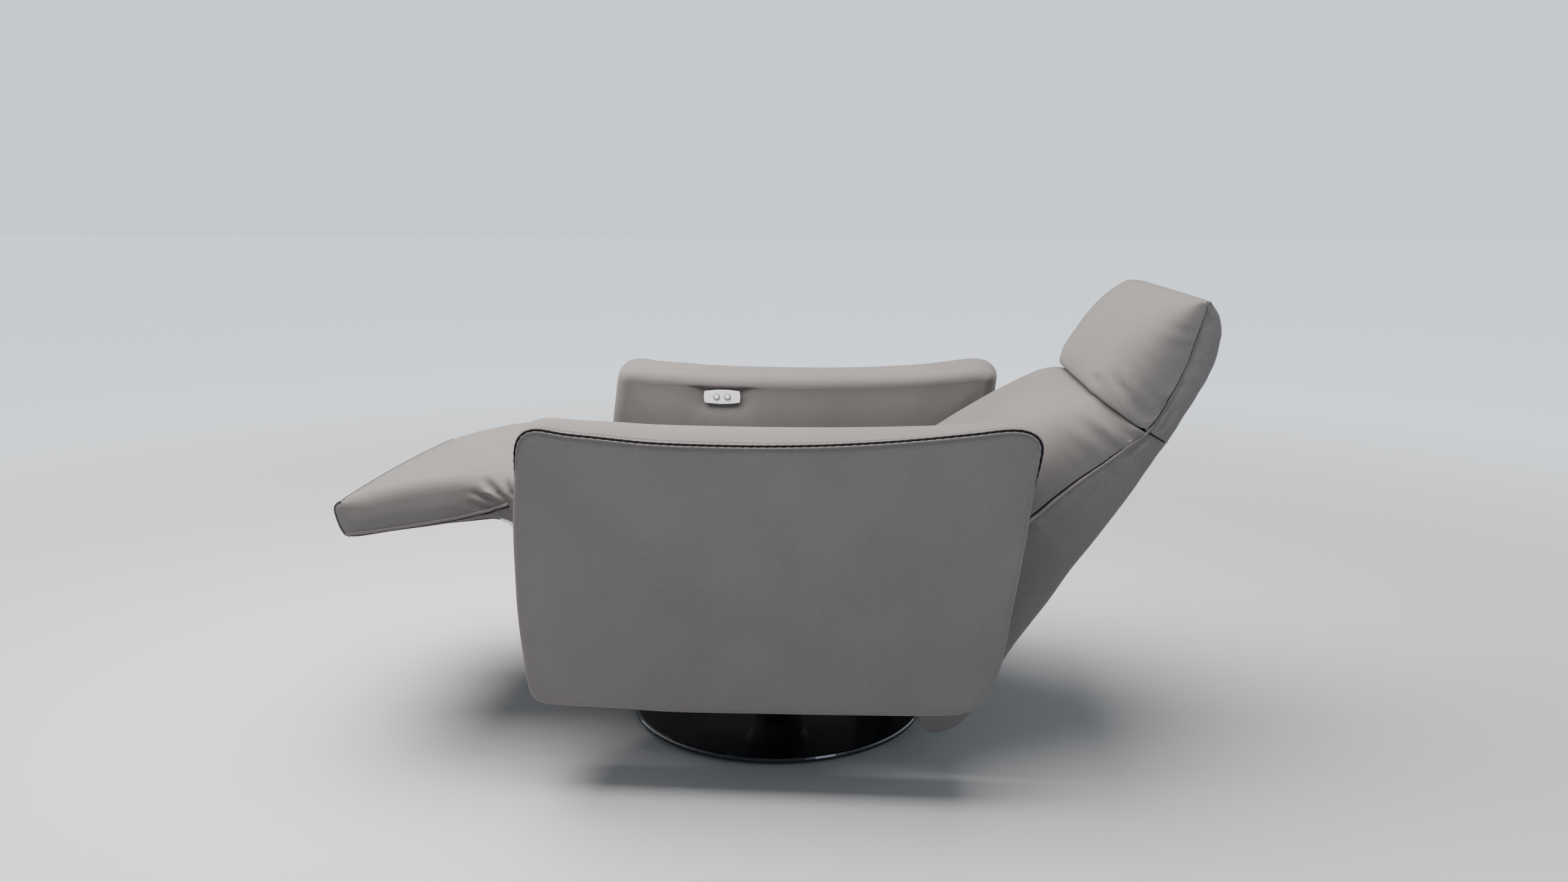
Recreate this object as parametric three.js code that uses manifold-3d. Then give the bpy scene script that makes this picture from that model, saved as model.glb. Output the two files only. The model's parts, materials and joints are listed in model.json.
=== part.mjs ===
// Swivel recliner armchair, fully opened: footrest out, back laid down.
// Millimetres. The origin is on the swivel axis at the floor, +Z is up, the chair faces -Y and the
// sitter's left is +X. Outlines lie in the side plane and are written as [y, z].

import * as THREE from "three";
import { mergeVertices } from "three/addons/utils/BufferGeometryUtils.js";
import Module from "manifold-3d";

const wasm = await Module();
wasm.setup();

// ---- driving dimensions -------------------------------------------------------------------------

const GAP = 0.3; // between parts that touch
const DEG = Math.PI / 180;
const SIDES = [["left", 1], ["right", -1]];

const ARM_INNER = 281; // half the room between the arms
const ARM_OUTER = 406; // half the overall width
const CUSHION_HALF = 268; // half the width of seat, back and footrest
const DISC_RADIUS = 275;
const DISC_TOP = 18;
const PAD_HEIGHT = 6; // floor pad under the disc
const POST_RADIUS = 26;
const POST_TOP = 104;
const CHASSIS_BOTTOM = 115;
const CHASSIS_TOP = 145;
const RAIL_IN = 215; // chassis side rails, measured from the middle
const RAIL_OUT = 245;

// Pivots of the mechanism with the chair open.
const FOOT_PIVOT = [-432, 428];
const DRIVE_PIVOT = [-300, 320];
const DRIVE_END = [-403.4, 338.2];
const FOOT_LUG = [-556, 398];
const BACK_PIVOT = [225, 270];
const HEAD_PIVOT = [628, 584];
const ROCKER_PIVOT = [221, 130];
const ROCKER_LUG = [200, 200];
const CROSS_TUBE = [-128, 318];

const SLIDE_TILT = -25 * DEG; // the seat runs back and down on its rails
const SLIDE_MIDDLE = [-60, 236];
const DECK_TILT = -11.2 * DEG; // slope of the seat deck
const FOOT_TILT = 9.3 * DEG; // slope of the footrest's underside

const TUBE_RADIUS = 10;
const SHAFT_RADIUS = 11;
const RUNNING = 0.3; // radial clearance of a running fit
const SOFT_EDGE = 5; // rounding of cushion edges
const ARM_EDGE = 12;
const HOLE_SIDES = 12;

// Control plate on the inside of the right arm.
const PLATE_MIDDLE = [-140, 550];
const PLATE_SIZE = [77, 29];
const BUTTON_PITCH = 23;
const BUTTON_RADIUS = 6.8;

// ---- materials ----------------------------------------------------------------------------------

const leather = { color: 0x8f8884, roughness: 0.85, metalness: 0 };
const blackGloss = { color: 0x050506, roughness: 0.15, metalness: 0.3 };
const blackSteel = { color: 0x1b1c1e, roughness: 0.5, metalness: 0.6 };
const zincSteel = { color: 0x9a9c9e, roughness: 0.35, metalness: 1 };
const plywood = { color: 0xb48a5a, roughness: 0.7, metalness: 0 };
const blackPlastic = { color: 0x151515, roughness: 0.6, metalness: 0 };
const silver = { color: 0xd9dade, roughness: 0.3, metalness: 0.9 };
const rubber = { color: 0x101010, roughness: 0.9, metalness: 0 };

// ---- shape helpers ------------------------------------------------------------------------------

const chair = new THREE.Group();

function add(name, geometry, look, parent = chair) {
  const mesh = new THREE.Mesh(geometry, new THREE.MeshStandardMaterial(look));
  mesh.name = name;
  parent.add(mesh);
  return mesh;
}

function vectors(points) {
  return points.map(([y, z]) => new THREE.Vector2(y, z));
}

// A straight-sided shape, always wound counter-clockwise so that its holes can be wound the other way.
function outline(points) {
  const corners = vectors(points);
  return new THREE.Shape(THREE.ShapeUtils.isClockWise(corners) ? corners.reverse() : corners);
}

// Pushes a side-plane shape along X, with its edges rounded by `round`.
const SIDEWAYS = new THREE.Matrix4().makeBasis(
  new THREE.Vector3(0, 1, 0), new THREE.Vector3(0, 0, 1), new THREE.Vector3(1, 0, 0));

function slab(shape, xFrom, xTo, round = 0, curveSegments = HOLE_SIDES / 2) {
  const low = Math.min(xFrom, xTo);
  const high = Math.max(xFrom, xTo);
  const geometry = new THREE.ExtrudeGeometry(shape, {
    depth: high - low - 2 * round,
    bevelEnabled: round > 0,
    bevelThickness: round,
    bevelSize: round,
    bevelOffset: -round,
    bevelSegments: 2,
    curveSegments,
  });
  geometry.applyMatrix4(SIDEWAYS);
  geometry.translate(low + round, 0, 0);
  return geometry;
}

function box(x0, x1, y0, y1, z0, z1) {
  const geometry = new THREE.BoxGeometry(Math.abs(x1 - x0), Math.abs(y1 - y0), Math.abs(z1 - z0));
  geometry.translate((x0 + x1) / 2, (y0 + y1) / 2, (z0 + z1) / 2);
  return geometry;
}

function rod([y, z], radius, xFrom, xTo, sides = 24) {
  const geometry = new THREE.CylinderGeometry(radius, radius, Math.abs(xTo - xFrom), sides);
  geometry.rotateZ(Math.PI / 2);
  geometry.translate((xFrom + xTo) / 2, y, z);
  return geometry;
}

// A turned part about a vertical axis, from its [radius, height] profile.
function turned(profile, sides = 48) {
  const geometry = new THREE.LatheGeometry(vectors(profile), sides);
  geometry.rotateX(Math.PI / 2);
  return geometry;
}

// Adds a hole whose flats, not its corners, are at the given radius.
function ring(shape, [y, z], radius) {
  const opening = new THREE.Path();
  opening.absarc(y, z, radius / Math.cos(Math.PI / HOLE_SIDES), 0, 2 * Math.PI, true);
  shape.holes.push(opening);
  return shape;
}

// A flat bar with round ends between two pivots.
function bar([y1, z1], [y2, z2], radius) {
  const along = Math.atan2(z2 - z1, y2 - y1);
  const shape = new THREE.Shape();
  shape.absarc(y2, z2, radius, along - Math.PI / 2, along + Math.PI / 2);
  shape.absarc(y1, z1, radius, along + Math.PI / 2, along + 1.5 * Math.PI);
  shape.closePath();
  return shape;
}

function solid(geometry) {
  const plain = geometry.clone();
  plain.deleteAttribute("normal");
  plain.deleteAttribute("uv");
  const merged = mergeVertices(plain, 1e-3);
  return new wasm.Manifold(new wasm.Mesh({
    numProp: 3,
    vertProperties: merged.attributes.position.array,
    triVerts: new Uint32Array(merged.index.array),
  }));
}

function surface(manifold) {
  const mesh = manifold.getMesh();
  const geometry = new THREE.BufferGeometry();
  geometry.setAttribute("position", new THREE.BufferAttribute(mesh.vertProperties, 3));
  geometry.setIndex(new THREE.BufferAttribute(mesh.triVerts, 1));
  return geometry;
}

function joined(first, ...others) {
  return surface(others.reduce((sum, piece) => sum.add(solid(piece)), solid(first)));
}

function cut(first, ...tools) {
  return surface(tools.reduce((rest, tool) => rest.subtract(solid(tool)), solid(first)));
}

// A group that is turned about X at a point of the side plane.
function tilted([y, z], angle) {
  const group = new THREE.Group();
  group.position.set(0, y, z);
  group.rotation.x = angle;
  chair.add(group);
  return group;
}

// Turns a geometry the same way, for parts that are joined before they are placed.
function placed(geometry, [y, z], angle) {
  return geometry.rotateX(angle).translate(0, y, z);
}

// ---- swivel base --------------------------------------------------------------------------------

function addBase() {
  add("floor_pad", turned([[0, 0], [258, 0], [262, 2], [262, PAD_HEIGHT], [0, PAD_HEIGHT]], 64), rubber);
  const under = PAD_HEIGHT + GAP;
  add("base_disc", turned([
    [0, under], [DISC_RADIUS - 5, under], [DISC_RADIUS, under + 2.5], [DISC_RADIUS, DISC_TOP - 4],
    [DISC_RADIUS - 1.5, DISC_TOP - 1], [DISC_RADIUS - 5, DISC_TOP], [0, DISC_TOP],
  ], 96), blackGloss);
  const flange = DISC_TOP + GAP;
  add("swivel_post", turned([
    [0, flange], [78, flange], [78, flange + 5], [40, flange + 8], [POST_RADIUS, flange + 22],
    [POST_RADIUS, POST_TOP], [0, POST_TOP],
  ]), blackSteel);
  const boltRing = 60;
  for (let index = 0; index < 3; index += 1) {
    const angle = (index * 120 + 30) * DEG;
    const head = turned([[0, 0], [7, 0], [7, 4], [4, 6], [0, 6]], 12);
    head.translate(boltRing * Math.cos(angle), boltRing * Math.sin(angle), flange + 7.5);
    add(`base_bolt_${index + 1}`, head, zincSteel);
  }
}

// ---- chassis that turns on the base -------------------------------------------------------------

function addChassis() {
  // The hub and the square turntable plate are one welding, with a bore for the post.
  const hubBore = POST_RADIUS + RUNNING;
  const plateTop = CHASSIS_BOTTOM - GAP;
  const plateBottom = plateTop - 7;
  const hub = turned([
    [0, 60], [46, 60], [48, 64], [48, 96], [62, plateBottom + 1], [0, plateBottom + 1],
  ]);
  const bore = turned([[0, 50], [hubBore, 50], [hubBore, 130], [0, 130]]);
  const plate = box(-150, 150, -150, 150, plateBottom, plateTop);
  add("turntable", surface(solid(hub).add(solid(plate)).subtract(solid(bore))), blackSteel);
  for (const [name, y] of [["front", -110], ["rear", 110]]) {
    const half = RAIL_IN - GAP;
    add(`cross_beam_${name}`, box(-half, half, y - 15, y + 15, CHASSIS_BOTTOM, CHASSIS_TOP), blackSteel);
  }
  for (const [side, sign] of SIDES) {
    addSideRail(side, sign);
    addSlideRail(side, sign);
    // A flat strap ties the chassis to the arm's panel.
    const strap = box(sign * 233, sign * 366, -150, 150, CHASSIS_TOP + GAP, CHASSIS_TOP + GAP + 6);
    add(`arm_strap_${side}`, strap, blackSteel);
  }
  const supply = box(60, 190, 126, 200, CHASSIS_BOTTOM + 1, CHASSIS_TOP);
  const inlet = new THREE.CylinderGeometry(4, 4, 14, 16);
  inlet.translate(125, 198, 130);
  add("power_supply", cut(supply, inlet), blackPlastic);
}

function addSideRail(side, sign) {
  const tube = box(sign * RAIL_IN, sign * RAIL_OUT, -290, 236, CHASSIS_BOTTOM, CHASSIS_TOP);
  const hollow = box(sign * (RAIL_IN + 3), sign * (RAIL_OUT - 3), -291, 237,
    CHASSIS_BOTTOM + 3, CHASSIS_TOP - 3);
  const pin = rod(ROCKER_PIVOT, 6, sign * (RAIL_IN - 8), sign * (RAIL_IN + 2));
  add(`side_rail_${side}`, joined(cut(tube, hollow), pin), blackSteel);
}

// The slide rail is a bar on an upright plate that stands on the side rail.
function addSlideRail(side, sign) {
  const [y, z] = SLIDE_MIDDLE;
  const length = 250;
  const beam = box(sign * 219, sign * 238, -length / 2, length / 2, -11, 11);
  const bearer = placed(beam, SLIDE_MIDDLE, SLIDE_TILT);
  const reach = 105;
  const rise = reach * Math.tan(-SLIDE_TILT);
  const foot = CHASSIS_TOP + GAP;
  const web = slab(outline([
    [y - reach, foot], [y + reach, foot], [y + reach, z - rise], [y - reach, z + rise],
  ]), sign * 226, sign * 231);
  add(`slide_rail_${side}`, joined(bearer, web), zincSteel);
}

// ---- actuator -----------------------------------------------------------------------------------

const TRACK_MIDDLE = [-60, 250];
const TRACK_LENGTH = 250;

function addActuator() {
  const group = tilted(TRACK_MIDDLE, SLIDE_TILT);
  const end = TRACK_LENGTH / 2;
  add("actuator_track", box(-15, 15, -end, end, -13, 13), blackPlastic, group);
  const gearbox = box(-30, 30, end + GAP, end + 56, -34, 24);
  const housing = rod([end + 28, -8], 23, 20, 130);
  add("actuator_motor", joined(gearbox, housing), blackPlastic, group);
  // The carriage straddles the track and hangs from the seat's cross tube.
  const carriageAt = -62;
  const block = box(-22, 22, carriageAt - 28, carriageAt + 28, -9, 22);
  const channel = box(-15 - RUNNING, 15 + RUNNING, carriageAt - 60, carriageAt + 30, -14, 13 + RUNNING);
  const tubeAt = new THREE.Vector3(0, CROSS_TUBE[0] - TRACK_MIDDLE[0], CROSS_TUBE[1] - TRACK_MIDDLE[1]);
  tubeAt.applyAxisAngle(new THREE.Vector3(1, 0, 0), -SLIDE_TILT);
  const tubeHole = [tubeAt.y, tubeAt.z];
  const lug = ring(bar([carriageAt, 20], tubeHole, 15), tubeHole, TUBE_RADIUS + GAP);
  const ear = slab(lug, -8, 8);
  const body = surface(solid(block).subtract(solid(channel)).add(
    solid(ear).subtract(solid(channel))));
  add("actuator_carriage", body, zincSteel, group);
}

// ---- seat ---------------------------------------------------------------------------------------

function addSeat() {
  for (const [side, sign] of SIDES) {
    addSeatPlate(side, sign);
    addRunner(side, sign);
  }
  const span = 244;
  add("seat_front_tube", rod(FOOT_PIVOT, TUBE_RADIUS, -span, span), zincSteel);
  add("seat_rear_tube", rod(BACK_PIVOT, TUBE_RADIUS, -span, span), zincSteel);
  add("seat_cross_tube", rod(CROSS_TUBE, TUBE_RADIUS, -span, span), zincSteel);
  addDeck();
  add("seat_cushion", slab(seatOutline(), -CUSHION_HALF, CUSHION_HALF, SOFT_EDGE, 3), leather);
}

const SEAT_PLATE_IN = 244.3;

function addSeatPlate(side, sign) {
  const shape = outline([
    [-448, 424], [-444, 441], [-432, 444], [-420, 441], [-409, 395], [-395, 388], [-130, 336],
    [95, 292], [220, 289], [241, 282], [245, 268], [236, 253], [215, 250], [60, 212], [-20, 228],
    [-180, 268], [-300, 298], [-325, 305], [-424, 407], [-434, 416], [-444, 420],
  ]);
  ring(shape, DRIVE_PIVOT, SHAFT_RADIUS + 0.4);
  add(`seat_plate_${side}`, slab(shape, sign * SEAT_PLATE_IN, sign * (SEAT_PLATE_IN + 5)), zincSteel);
}

function addRunner(side, sign) {
  const group = tilted(SLIDE_MIDDLE, SLIDE_TILT);
  const from = -100;
  const to = 60;
  const shell = box(sign * 213, sign * 244, from, to, -9, 17);
  const channel = box(sign * (219 - 0.6), sign * (238 + 0.6), from - 1, to + 1, -12, 11 + 0.6);
  add(`seat_runner_${side}`, cut(shell, channel), blackSteel, group);
}

const DECK_FRONT = [-404, 400];
const DECK_LENGTH = 505;

function addDeck() {
  const group = tilted(DECK_FRONT, DECK_TILT);
  const half = 240;
  const top = -1;
  const bars = [["front", 14], ["rear", DECK_LENGTH - 52]];
  for (const [name, start] of bars) {
    add(`seat_rail_${name}`, box(-half, half, start, start + 34, top - 22, top), plywood, group);
  }
  // Four zigzag springs run from the front rail to the rear rail.
  const first = bars[0][1] + 34 + 2;
  const last = bars[1][1] - 2;
  const turns = 18;
  const width = 22;
  const wire = new THREE.Shape();
  wire.absarc(0, 0, 2, 0, 2 * Math.PI);
  for (let index = 0; index < 4; index += 1) {
    const middle = (index - 1.5) * 105;
    const points = [new THREE.Vector3(middle, first, top - 8)];
    for (let turn = 1; turn < turns; turn += 1) {
      const along = first + ((last - first) * turn) / turns;
      points.push(new THREE.Vector3(middle + (turn % 2 ? width : -width), along, top - 8));
    }
    points.push(new THREE.Vector3(middle, last, top - 8));
    const spring = new THREE.ExtrudeGeometry(wire, {
      steps: 54,
      curveSegments: 3,
      bevelEnabled: false,
      extrudePath: new THREE.CatmullRomCurve3(points),
    });
    add(`seat_spring_${index + 1}`, spring, zincSteel, group);
  }
}

function seatOutline() {
  const shape = new THREE.Shape();
  shape.moveTo(-403, 402);
  shape.lineTo(-408, 440);
  shape.lineTo(-428, 453);
  shape.splineThru(vectors([[-437, 474], [-432, 494], [-410, 500]]));
  shape.splineThru(vectors([[-371, 495], [-260, 472], [-100, 440], [40, 418]]));
  shape.splineThru(vectors([[74, 408], [88, 386], [90, 350]]));
  shape.lineTo(92, 304);
  return shape;
}

// ---- footrest -----------------------------------------------------------------------------------

function addFootrest() {
  const shape = new THREE.Shape();
  shape.moveTo(-451, 432);
  shape.lineTo(-446, 470);
  shape.splineThru(vectors([[-447, 490], [-458, 499]]));
  shape.splineThru(vectors([[-500, 496], [-560, 487], [-646, 471], [-712, 455]]));
  shape.splineThru(vectors([[-731, 444], [-730, 425], [-712, 391], [-700, 389]]));
  shape.lineTo(-683, 393);
  const pad = slab(shape, -CUSHION_HALF, CUSHION_HALF, SOFT_EDGE, 3);
  const boardFrom = 6;
  const boardTo = 224;
  const at = [-683, 393];
  const pocket = placed(box(-230.5, 230.5, boardFrom - 0.5, boardTo + 0.5, -10, 12.6), at, FOOT_TILT);
  add("footrest_cushion", cut(pad, pocket), leather);
  add("footrest_board", placed(box(-230, 230, boardFrom, boardTo, 1, 12), at, FOOT_TILT), plywood);

  for (const [side, sign] of SIDES) {
    const hinge = outline([
      [-424, 413], [-415, 424], [-415, 434], [-421, 442], [-430, 445], [-438, 444], [-452, 429],
      [-560, 411.5], [-556, 404], [-470, 415], [-437, 411],
    ]);
    ring(hinge, FOOT_PIVOT, TUBE_RADIUS + RUNNING);
    add(`footrest_hinge_${side}`, slab(hinge, sign * 214, sign * 219), blackSteel);
  }
  // The lug in the middle takes the push of the drive link.
  const lug = outline([
    [-500, 420.5], [-605, 403.5], [-605, 400], [-564, 391], [-556, 389], [-548, 391], [-500, 416],
  ]);
  add("footrest_lug", joined(slab(lug, 10, 15), rod(FOOT_LUG, 5, 3.5, 12, 16)), blackSteel);
}

// ---- footrest drive -----------------------------------------------------------------------------

function addDrive() {
  const shaft = rod(DRIVE_PIVOT, SHAFT_RADIUS, -249, 249);
  const crank = slab(ring(bar(DRIVE_PIVOT, DRIVE_END, 12), DRIVE_END, 5.3), -3, 3);
  add("drive_shaft", joined(shaft, crank), blackSteel);
  const link = bar(FOOT_LUG, DRIVE_END, 8);
  ring(link, FOOT_LUG, 5 + RUNNING);
  ring(link, DRIVE_END, 5.3);
  add("footrest_link", slab(link, 4, 9), blackSteel);
  for (const [side, sign] of SIDES) {
    const rocker = bar(ROCKER_PIVOT, ROCKER_LUG, 12);
    ring(rocker, ROCKER_PIVOT, 6 + RUNNING);
    ring(rocker, ROCKER_LUG, 5.3);
    add(`back_rocker_${side}`, slab(rocker, sign * 207.5, sign * 212.5), blackSteel);
  }
}

// ---- back ---------------------------------------------------------------------------------------

const SEAM_LOW = [300, 346];
const SEAM_HIGH = [604, 597];
const SEAM_ANGLE = Math.atan2(SEAM_HIGH[1] - SEAM_LOW[1], SEAM_HIGH[0] - SEAM_LOW[0]);

function shellOutline() {
  const shape = new THREE.Shape();
  shape.moveTo(262, 240);
  shape.lineTo(258, 118);
  shape.splineThru(vectors([[257, 97], [270, 79], [288, 73], [308, 78], [324, 88], [340, 106]]));
  shape.splineThru(vectors([[404, 223], [465, 312], [531, 407], [592, 499], [641, 574]]));
  shape.lineTo(604, 597);
  shape.splineThru(vectors([[504, 513], [441, 459], [300, 343]]));
  shape.lineTo(275, 300);
  return shape;
}

function lumbarOutline() {
  const shape = new THREE.Shape();
  shape.moveTo(301, 348);
  shape.splineThru(vectors([[440, 464], [503, 518], [602, 601]]));
  shape.lineTo(552, 631.5);
  shape.splineThru(vectors([[538, 637], [500, 630], [411, 583], [289, 507], [200, 452]]));
  shape.splineThru(vectors([[166, 426], [162, 404], [178, 388]]));
  shape.lineTo(232, 352);
  return shape;
}

function addBack() {
  const topBar = rod(HEAD_PIVOT, 9, -236, 236);
  const knuckleRoom = SIDES.map(([, sign]) => rod(HEAD_PIVOT, 17.5, sign * 148, sign * 160));
  // A pocket behind the lumbar cushion holds the steel frame.
  const seam = SEAM_LOW;
  const pocket = placed(box(-232, 232, -60, 318, -33, 12), seam, SEAM_ANGLE);
  const bracketRoom = SIDES.map(([, sign]) => slab(outline([
    [200, 180], [300, 230], [360, 330], [330, 372], [240, 330],
  ]), sign * 195, sign * 206));
  const shell = slab(shellOutline(), -CUSHION_HALF, CUSHION_HALF, SOFT_EDGE, 3);
  add("back_shell", cut(shell, pocket, topBar, ...knuckleRoom, ...bracketRoom), leather);
  const lumbar = slab(lumbarOutline(), -CUSHION_HALF, CUSHION_HALF, SOFT_EDGE, 3);
  add("lumbar_cushion", cut(lumbar, topBar, ...knuckleRoom), leather);

  const frame = tilted(seam, SEAM_ANGLE);
  for (const [side, sign] of SIDES) {
    add(`back_upright_${side}`, box(sign * 207, sign * 230, -20, 300, -31, -3), zincSteel, frame);
    const bracket = outline([
      [213, 264], [190, 208], [191, 193], [202, 188], [212, 194], [218, 236], [236, 256],
      [300, 306], [345, 352], [330, 366], [290, 338], [232, 288], [218, 288], [210, 280],
    ]);
    ring(bracket, BACK_PIVOT, TUBE_RADIUS + RUNNING);
    ring(bracket, ROCKER_LUG, 5.3);
    add(`back_bracket_${side}`, slab(bracket, sign * 201, sign * 206), blackSteel);
  }
  add("back_crossbar", box(-206, 206, 268, 296, -27, -5), zincSteel, frame);
  add("back_top_bar", rod(HEAD_PIVOT, 8, -234, 234), zincSteel);
}

const HEAD_TIE = [672, 682];

function addHeadrest() {
  const shape = new THREE.Shape();
  shape.moveTo(549, 640);
  shape.lineTo(628, 588);
  shape.lineTo(646, 586);
  shape.splineThru(vectors([[662, 612], [680, 646], [697, 680], [708, 712], [711, 742]]));
  shape.splineThru(vectors([[710, 768], [703, 790], [688, 799]]));
  shape.splineThru(vectors([[650, 788], [608, 752], [578, 714], [556, 672]]));
  const pad = slab(shape, -CUSHION_HALF, CUSHION_HALF, SOFT_EDGE, 3);
  const barRoom = rod(HEAD_PIVOT, 9, -236, 236);
  const slotRoom = SIDES.map(([, sign]) => slab(bar(HEAD_PIVOT, HEAD_TIE, 14), sign * 149, sign * 159));
  const tieRoom = rod(HEAD_TIE, 8, -158, 158, 16);
  add("headrest_cushion", cut(pad, barRoom, ...slotRoom, tieRoom), leather);
  const plates = SIDES.map(([, sign]) => {
    const arm = ring(bar(HEAD_PIVOT, HEAD_TIE, 13), HEAD_PIVOT, 8 + RUNNING);
    return slab(arm, sign * 151, sign * 157);
  });
  const tie = rod(HEAD_TIE, 7, -156, 156, 16);
  add("headrest_frame", joined(tie, ...plates), zincSteel);
}

// ---- arms ---------------------------------------------------------------------------------------

function armOutline() {
  const shape = new THREE.Shape();
  shape.moveTo(-340, 160);
  shape.splineThru(vectors([[-227, 156], [-139, 153], [7, 155], [160, 158], [290, 162]]));
  shape.bezierCurveTo(345, 166, 372, 205, 383, 262);
  shape.splineThru(vectors([[399, 358], [410, 440], [420, 515], [427, 580]]));
  shape.quadraticCurveTo(432, 616, 396, 617);
  shape.splineThru(vectors([[300, 610], [150, 602], [0, 599], [-150, 602], [-290, 609]]));
  shape.bezierCurveTo(-345, 614, -364, 604, -371, 560);
  shape.splineThru(vectors([[-378, 430], [-378, 310], [-362, 180]]));
  shape.quadraticCurveTo(-358, 161, -340, 160);
  return shape;
}

function addArms() {
  const panelIn = 334;
  const panelOut = 352;
  for (const [side, sign] of SIDES) {
    const pad = slab(armOutline(), sign * ARM_INNER, sign * ARM_OUTER, ARM_EDGE, 3);
    const slot = box(sign * (panelIn - 0.5), sign * (panelOut + 0.5), -310.5, 300.5, 140, 540.5);
    const cuts = [slot];
    if (side === "right") {
      cuts.push(controlRoom());
    }
    add(`arm_pad_${side}`, cut(pad, ...cuts), leather);
    add(`arm_panel_${side}`, box(sign * panelIn, sign * panelOut, -310, 300, 152, 540), plywood);
  }
}

// ---- control plate and buttons ------------------------------------------------------------------

const HOUSING = { halfLength: 32, halfHeight: 11, depth: 22 };

function controlRoom() {
  const [y, z] = PLATE_MIDDLE;
  const { halfLength, halfHeight, depth } = HOUSING;
  return box(-ARM_INNER + 5, -ARM_INNER - depth - 1, y - halfLength - 0.5, y + halfLength + 0.5,
    z - halfHeight - 0.5, z + halfHeight + 0.5);
}

function addControls() {
  const [y, z] = PLATE_MIDDLE;
  const { halfLength, halfHeight, depth } = HOUSING;
  const front = -ARM_INNER - GAP;
  const rear = -ARM_INNER - depth;
  const block = box(front, rear, y - halfLength, y + halfLength, z - halfHeight, z + halfHeight);
  const room = box(front + 1, rear + 3, y - halfLength + 3, y + halfLength - 3,
    z - halfHeight + 2, z + halfHeight - 2);
  add("switch_housing", cut(block, room), blackPlastic);

  // A barrel-shaped plate: its four sides bow out by a few millimetres.
  const [length, height] = PLATE_SIZE;
  const [reach, rise] = [length / 2, height / 2];
  const bow = 3;
  const plate = new THREE.Shape();
  plate.moveTo(y - reach + 2, z - rise + bow);
  plate.quadraticCurveTo(y, z - rise - bow, y + reach - 2, z - rise + bow);
  plate.quadraticCurveTo(y + reach + 1, z, y + reach - 2, z + rise - bow);
  plate.quadraticCurveTo(y, z + rise + bow, y - reach + 2, z + rise - bow);
  plate.quadraticCurveTo(y - reach - 1, z, y - reach + 2, z - rise + bow);
  const buttons = [["open", y - BUTTON_PITCH / 2], ["close", y + BUTTON_PITCH / 2]];
  for (const [, buttonY] of buttons) {
    ring(plate, [buttonY, z], BUTTON_RADIUS + 0.4);
  }
  add("control_plate", slab(plate, -ARM_INNER + GAP, -ARM_INNER + GAP + 2.5, 0, 8), silver);

  for (const [name, buttonY] of buttons) {
    const button = turned([
      [0, -10], [3, -10], [3, -2.2], [8, -2.2], [8, -0.6], [BUTTON_RADIUS, -0.6],
      [BUTTON_RADIUS, 3.6], [5.4, 4.6], [3, 5.2], [0, 5.4],
    ], 32);
    button.rotateY(Math.PI / 2);
    button.translate(-ARM_INNER, buttonY, z);
    add(`button_${name}`, button, silver);
  }
}

addBase();
addChassis();
addActuator();
addSeat();
addFootrest();
addDrive();
addBack();
addHeadrest();
addArms();
addControls();

export default chair;
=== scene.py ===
import json
import math

import bmesh
import bpy
import numpy as np
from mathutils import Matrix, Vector


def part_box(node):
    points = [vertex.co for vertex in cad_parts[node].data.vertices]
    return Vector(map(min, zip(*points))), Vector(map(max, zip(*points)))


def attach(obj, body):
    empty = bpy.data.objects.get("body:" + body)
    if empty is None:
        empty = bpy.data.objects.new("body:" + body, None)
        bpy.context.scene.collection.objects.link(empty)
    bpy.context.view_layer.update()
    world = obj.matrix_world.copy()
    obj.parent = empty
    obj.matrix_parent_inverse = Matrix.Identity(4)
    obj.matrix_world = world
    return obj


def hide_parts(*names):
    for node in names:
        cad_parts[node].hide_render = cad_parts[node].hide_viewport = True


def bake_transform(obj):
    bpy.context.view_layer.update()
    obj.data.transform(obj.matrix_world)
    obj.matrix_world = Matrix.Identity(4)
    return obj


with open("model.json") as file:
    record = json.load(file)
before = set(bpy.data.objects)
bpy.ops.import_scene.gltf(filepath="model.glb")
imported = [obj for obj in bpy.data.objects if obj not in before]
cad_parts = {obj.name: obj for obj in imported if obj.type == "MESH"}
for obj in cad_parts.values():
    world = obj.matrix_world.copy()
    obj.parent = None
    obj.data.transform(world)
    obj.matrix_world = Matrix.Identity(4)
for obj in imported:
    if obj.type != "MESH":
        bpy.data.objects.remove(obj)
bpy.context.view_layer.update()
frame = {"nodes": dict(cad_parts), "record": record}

# Swivel recliner armchair with the footrest out and the back laid down. Metres here; the outlines in
# the side plane are written in millimetres as (y, z). The sitter faces -Y, and their left is +X.

MM = 0.001
HALF = 0.268  # half the width of the seat, back and footrest
ARM_INNER = 0.281
ARM_OUTER = 0.404
STITCH_PITCH = 0.0125
STITCH_LENGTH = 0.0088
LINE_STEP = 0.003

# ---- camera, lights and floor ----

LENS = 26.977
CAMERA_PLACE = (2.1207, 0.18694, 0.9456)
CAMERA_YAW = math.radians(-4.7028)
CAMERA_DIP = math.radians(11.4405)
FLOOR_TONE = 0.50
FLOOR_REACH = 30
FLOOR_FADE = (0.9, 4.5)  # distances from the origin between which the floor fades into studio light
SKY_TINT = (0.83, 0.91, 1.0)
SKY_HORIZON = 1.25
SKY_OVERHEAD = 0.22
SKY_BAND = (0.16, 0.42)  # heights of the view direction between which the sky dims


def add_object(name, data):
    thing = bpy.data.objects.new(name, data)
    bpy.context.scene.collection.objects.link(thing)
    return thing


def aim(thing, place, forward):
    thing.location = place
    thing.rotation_mode = "QUATERNION"
    thing.rotation_quaternion = forward.to_track_quat("-Z", "Y")


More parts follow.
